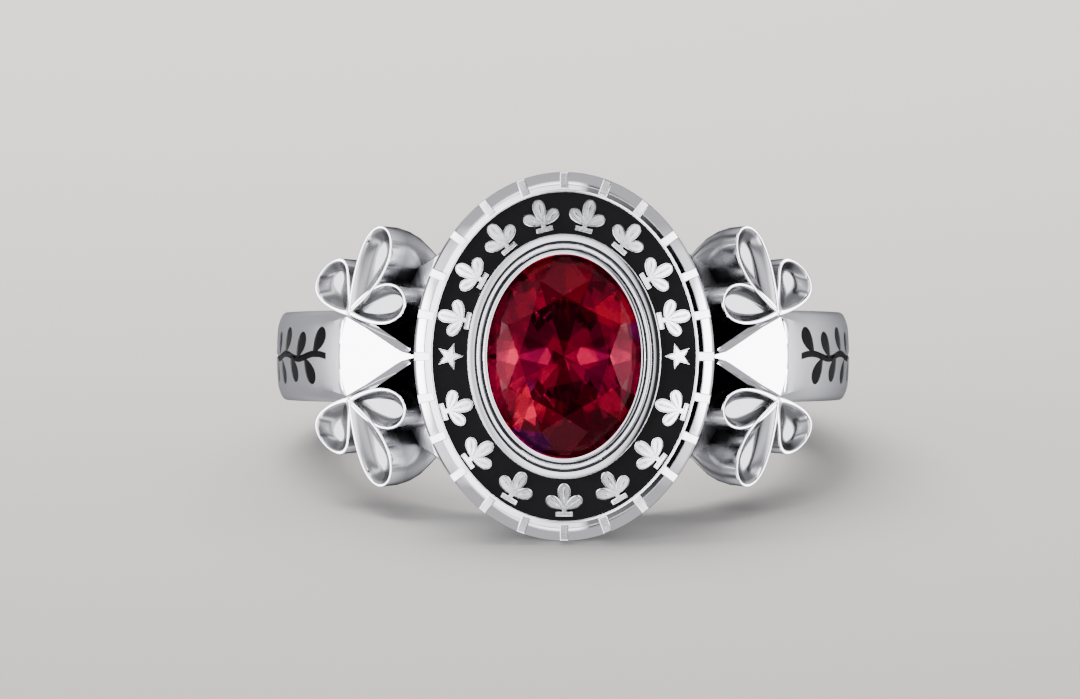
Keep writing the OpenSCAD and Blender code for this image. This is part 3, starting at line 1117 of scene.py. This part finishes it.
def gap_shade(side_x, side_y, depth):
    """How black the painted shade is in the gaps beside the kites, and between the head and the long petals.
    """
    below = np.where(side_y < BESIDE_KITE, KITE_BLACK_BELOW, PETAL_BLACK_BELOW)
    beside = rise(depth, below, GAP_SOFT) * between(side_x, *GAP_ACROSS) * fall(side_y, *GAP_ALONG)
    behind = rise(depth, *BEHIND_DEPTH) * between(side_x, *BEHIND_ACROSS) * between(side_y, *BEHIND_ALONG)
    return beside + BEHIND_DARK * behind


def paint(obj):
    """Paints shade on the silver, black in grooves and deep gaps and lighter elsewhere, and paints where it
    is satin.
    """
    mesh = obj.data
    co = np.empty(len(mesh.vertices) * 3)
    mesh.vertices.foreach_get("co", co)
    x, y, z = co.reshape(-1, 3).T
    side_x = np.abs(x)
    side_y = np.abs(y)
    depth = FACET_D - (side_x * math.sin(FACET_TILT) + z * math.cos(FACET_TILT))
    facet_z = (FACET_D - side_x * math.sin(FACET_TILT)) / math.cos(FACET_TILT)
    deg = np.degrees(np.arctan2(side_x, z))

    # Painted shade: black in deep gaps and in the head's grooves, where shade falls
    gap = gap_shade(side_x, side_y, depth) * rise(np.hypot(x, z) - bore_r, *OFF_BORE) * (z > HEAD_SIDE_Z)
    dark = np.clip(groove_shade(head_inset(x, y), z - CREST_Z) + gap, 0, 1)

    behind_crease = (deg > CREASE_AT - CREASE_BOW) * (side_y < SHOULDER_HALF + BAND_MARGIN)
    shank = rise(facet_z - z, *BAND_BELOW) * behind_crease
    beyond = (side_x > WALL_FROM[0]) * (side_y > WALL_FROM[1])
    walls = rise(depth, *WALL_BELOW) * beyond * (1 - shank)
    # Painted shade on the band, more towards its sides, and on the petals' walls and bowls
    shank_shade = shank * (BAND_DARK + BAND_SIDE_DARK * rise(side_x, *BAND_SIDE))
    walls_shade = walls * (WALL_DARK - WALL_LIGHTENS * rise(depth, *WALL_DEEP))
    layers = {
        "blackened": dark + shank_shade + walls_shade,
        "satin": shank + WALL_SATIN * walls * rise(depth, *WALL_SATIN_BELOW),
    }
    for name, value in layers.items():
        layer = mesh.attributes.new(name, "FLOAT", "POINT")
        layer.data.foreach_set("value", np.clip(value, 0, 1).astype(np.float32))


def flatten_kites(mesh):
    """Keeps the kites and the bevels round them flat."""
    lift_up = lay_down.inverted()
    for poly in mesh.polygons:
        x, y, z = lift_up @ poly.center
        depth = FACET_D - abs(x) * math.sin(FACET_TILT) - z * math.cos(FACET_TILT)
        within = KITE_ACROSS[0] < abs(x) < KITE_ACROSS[1] and abs(y) < SHOULDER_HALF - KITE_MARGIN
        if within and KITE_DEPTH[0] < depth < KITE_DEPTH[1]:
            poly.use_smooth = False


def sharpen_kites(mesh):
    """Keeps the edges of the kites crisp."""
    sharp = mesh.attributes.get("sharp_edge") or mesh.attributes.new("sharp_edge", "BOOLEAN", "EDGE")
    normals = np.empty(len(mesh.polygons) * 3)
    mesh.polygons.foreach_get("normal", normals)
    normals = normals.reshape(-1, 3)
    facing = np.zeros(len(normals), bool)
    for side in (-1, 1):
        out = ring_turn.to_3x3() @ Vector((side * math.sin(FACET_TILT), 0, math.cos(FACET_TILT)))
        facing |= normals @ np.array(out) > math.cos(math.radians(KITE_FACING_DEG))
    count = {}
    for poly in mesh.polygons:
        if facing[poly.index]:
            for loop in poly.loop_indices:
                edge = mesh.loops[loop].edge_index
                count[edge] = count.get(edge, 0) + 1
    for edge, n in count.items():
        if n == 1:
            sharp.data[edge].value = True


# Camera

def add_camera():
    data = bpy.data.cameras.new("camera")
    data.lens = LENS
    data.sensor_width = SENSOR
    data.clip_start = 0.01
    data.clip_end = 10
    away = PHOTO_W / PX_PER_MM * LENS / SENSOR
    x = (PHOTO_W / 2 - RING_AT_PX[0]) / PX_PER_MM
    y = (RING_AT_PX[1] - PHOTO_H / 2) / PX_PER_MM
    eye = lay_down @ Vector((x, y, CREST_Z + away))
    cam = new_object("camera", data)
    cam.matrix_world = Matrix.Translation(eye) @ ring_turn
    bpy.context.scene.camera = cam


# Studio: a pale floor, a room for the silver to reflect, and two soft lamps that it doesn't show

def add_floor():
    corners = [(x * FLOOR_HALF, y * FLOOR_HALF, 0) for x, y in ((-1, -1), (1, -1), (1, 1), (-1, 1))]
    floor = mesh_object("floor", corners, [(0, 1, 2, 3)])
    mat, tree, shader = new_material("floor")
    set_inputs(tree, shader, {
        "Base Color": FLOOR_COLOUR,
        "Roughness": 0.85,
        "Specular IOR Level": 0.2,
    })
    floor.data.materials.append(mat)
    floor.visible_glossy = False


def light_curve(tree, share, stops):
    """Brightness over a direction's share along one axis, from -1 to 1."""
    graph = add_node(tree, "FloatCurve", {"Value": ramp(tree, share, -1, 1)})
    top = max(level for _, level in stops)
    points = graph.mapping.curves[0].points
    for point, (at, level) in zip(points, (stops[0], stops[-1])):
        point.location = ((at + 1) / 2, level / top)
    for at, level in stops[1:-1]:
        points.new((at + 1) / 2, level / top)
    for point in points:
        point.handle_type = "VECTOR"
    graph.mapping.update()
    return maths(tree, "MULTIPLY", graph.outputs["Value"], top)


def share_at(deg):
    """A direction's share towards the camera, from its angle to the line of sight."""
    return math.cos(math.radians(deg))


def add_world():
    """A light room, brightest to both sides, with dark strips that curved silver picks up."""
    world = bpy.data.worlds.new("room")
    bpy.context.scene.world = world
    world.use_nodes = True
    tree = world.node_tree
    direction = coords(tree, "Generated")
    across = dot(tree, direction, axis_x)
    towards = dot(tree, direction, axis_z)
    along = maths(tree, "ABSOLUTE", dot(tree, direction, axis_y))

    def away_from(share, middle, near, far):
        """0 near the middle, 1 far from it."""
        distance = maths(tree, "ABSOLUTE", maths(tree, "SUBTRACT", share, middle))
        return ramp(tree, distance, near, far)

    back = light_curve(tree, across, ROOM_BACK)
    front = light_curve(tree, across, ROOM_FRONT)
    room = blend(tree, back, front, ramp(tree, towards, *FRONT_FROM))
    room = blend(tree, room, ROOM_CAP, ramp(tree, along, *CAP_FROM))
    ring_light = blend(tree, RING_LIGHT, 0.0, ramp(tree, across, *RING_LIGHT_END))
    ring_end = RING_LIGHT_HALF + RING_LIGHT_SOFT
    room = blend(tree, ring_light, room, away_from(towards, RING_LIGHT_AT, RING_LIGHT_HALF, ring_end))
    sides = away_from(across, PANEL_MIDDLE, PANEL_HALF - PANEL_SOFT, PANEL_HALF + PANEL_SOFT)
    panel = blend(tree, PANEL_GREY, PANEL_WHITE, sides)
    panel = blend(tree, panel, 0.0, ramp(tree, towards, share_at(LENS_DEG), LENS_BLACK))
    in_panel = ramp(tree, towards, share_at(PANEL_DEG), share_at(PANEL_DEG - PANEL_EDGE_DEG))
    set_inputs(tree, tree.nodes["Background"], {
        "Color": ROOM_COLOUR,
        "Strength": blend(tree, room, panel, in_panel),
    })


def add_lamp(name, place, target, size, power):
    data = bpy.data.lights.new(name, "AREA")
    data.size = size
    data.energy = power
    data.spread = LAMP_SPREAD
    lamp = new_object(name, data)
    lamp.visible_glossy = False
    lamp.location = place
    lamp.rotation_euler = (Vector(target) - lamp.location).to_track_quat("-Z", "Y").to_euler()


# Build

body = ring_body()
paint(body)
finish_piece(body, silver_material(), SILVER_SHARP_DEG)
flatten_kites(body.data)
sharpen_kites(body.data)
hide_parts("ring_body")

fill = enamel()
black = enamel_material()
finish_piece(fill, black)
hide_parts("enamel_band")

finish_piece(engraved_fill(), black)

ruby = stone_material()
for stone_slot in frame["nodes"]["stone"].material_slots:
    stone_slot.material = ruby

add_camera()
add_floor()
add_world()
for lamp_row in LAMPS:
    add_lamp(*lamp_row)
